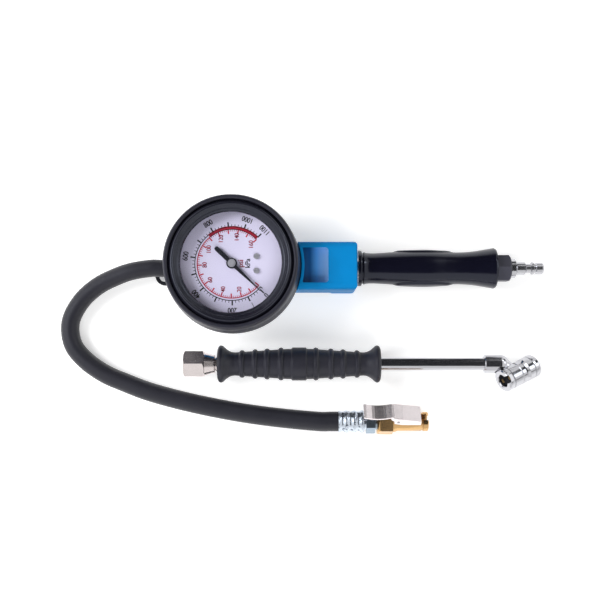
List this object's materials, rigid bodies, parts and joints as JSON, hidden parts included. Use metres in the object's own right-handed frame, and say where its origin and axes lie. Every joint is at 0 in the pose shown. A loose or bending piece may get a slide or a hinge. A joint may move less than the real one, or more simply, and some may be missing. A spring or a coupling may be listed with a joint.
{
  "type": "tyre inflator with gauge",
  "caption": "Hand tyre inflator: dial gauge in a rubber boot, housing with trigger, contoured handle, hose with clip-on chuck, and a loose twin push-on chuck.",
  "frame": {"origin": "on the gauge axis, in the plane of the flat back that the tool rests on", "axes": "+Z out of the dial face, +X along the handle towards the air inlet, +Y across the tool"},
  "size_m": [0.3271, 0.1568, 0.054],
  "materials": {
    "rubber_black": "matt moulded rubber",
    "steel_black": "black enamel",
    "lens_clear": "clear",
    "dial_white": "satin enamel",
    "black_enamel": "black enamel",
    "screw_steel": "bright",
    "brass": "machined",
    "spring_steel": "drawn wire",
    "housing_blue": "glossy powder coat",
    "block_alloy": "machined",
    "grip_black": "glossy",
    "bushing_black": "black oxide",
    "plug_steel": "nickel plated",
    "zinc": "bright zinc plate",
    "chuck_brass": "machined",
    "nickel": "nickel plated",
    "chrome": "polished"
  },
  "bodies": {
    "root": {"gauge_boot": "rubber_black", "gauge_case": "steel_black", "bezel_ring": "steel_black", "window_lens": "lens_clear", "window_gasket": "rubber_black", "dial_plate": "dial_white", "dial_screws": "screw_steel", "bourdon_tube": "brass", "tube_socket": "brass", "movement_back": "brass", "movement_front": "brass", "movement_screws": "screw_steel", "hairspring": "spring_steel", "housing_front": "housing_blue", "housing_back": "housing_blue", "housing_screws": "screw_steel", "valve_block": "block_alloy", "trigger_pin": "screw_steel", "valve_spring": "spring_steel", "valve_seal": "rubber_black", "valve_cap": "brass", "handle_tube": "screw_steel", "handle_grip": "grip_black", "inlet_bushing": "bushing_black", "inlet_plug": "plug_steel", "outlet_fitting": "zinc", "inner_ferrule": "zinc", "hanging_eye": "black_enamel", "hose": "rubber_black", "hose_ferrule": "zinc", "hose_nut": "zinc", "chuck_body": "chuck_brass", "chuck_pin": "screw_steel", "chuck_spring": "spring_steel", "chuck_seal": "rubber_black", "depressor_spring": "spring_steel"},
    "pointer_spindle": {"pinion": "screw_steel", "pointer": "black_enamel", "pointer_cap": "screw_steel"},
    "sector": {"sector_gear": "brass"},
    "link": {"link": "brass"},
    "trigger": {"trigger_lever": "black_enamel"},
    "valve": {"valve_stem": "brass"},
    "clip": {"chuck_lever": "nickel"},
    "depressor": {"chuck_depressor": "brass"},
    "spare_chuck": {"ext_nut": "nickel", "ext_tube": "chrome", "ext_grip": "rubber_black", "twin_head": "chrome", "head_caps": "chrome", "head_seals": "rubber_black"},
    "shuttle": {"head_shuttle": "brass"}
  },
  "joints": [
    {"name": "sector_turn", "type": "hinge", "parent": "root", "child": "sector", "pos_m": [0.01379, -0.01379, 0.0316], "axis": [0, 0, 1], "range_deg": [0, 22.5], "stiffness_Nm_per_rad": 0.002},
    {"name": "pointer_turn", "type": "hinge", "parent": "root", "child": "pointer_spindle", "pos_m": [0, 0, 0.0424], "axis": [0, 0, 1], "range_deg": [-270, 0]},
    {"name": "link_turn", "type": "hinge", "parent": "sector", "child": "link", "pos_m": [0.00788, -0.01483, 0.033], "axis": [0, 0, 1], "range_deg": [-22.5, 0]},
    {"name": "trigger_pull", "type": "hinge", "parent": "root", "child": "trigger", "pos_m": [0.024, 0, 0.0042], "axis": [0, -1, 0], "range_deg": [0, 5.5], "stiffness_Nm_per_rad": 1.5},
    {"name": "valve_lift", "type": "slide", "parent": "root", "child": "valve", "axis": [0, 0, 1], "range_m": [0, 0.003], "deforming": ["valve_spring"]},
    {"name": "clip_squeeze", "type": "hinge", "parent": "root", "child": "clip", "pos_m": [0.1095, -0.09867, 0.01587], "axis": [0, -0.8387, 0.5446], "range_deg": [0, 8], "stiffness_Nm_per_rad": 1, "deforming": ["chuck_spring"]},
    {"name": "depressor_push", "type": "slide", "parent": "root", "child": "depressor", "axis": [-1, 0, 0], "range_m": [0, 0.0012], "stiffness_N_per_m": 400, "deforming": ["depressor_spring"]},
    {"name": "spare_chuck_lift", "type": "slide", "parent": "root", "child": "spare_chuck", "axis": [0, 0, 1], "range_m": [0, 0.06]},
    {"name": "shuttle_slide", "type": "slide", "parent": "spare_chuck", "child": "shuttle", "axis": [0.8403, 0.3918, -0.3746], "range_m": [-0.0012, 0.0012]}
  ],
  "couplings": [
    {"joint": "pointer_turn", "follows": "sector_turn", "ratio": -12},
    {"joint": "link_turn", "follows": "sector_turn", "ratio": -1},
    {"joint": "valve_lift", "follows": "trigger_pull", "m_per_rad": 0.0302}
  ]
}
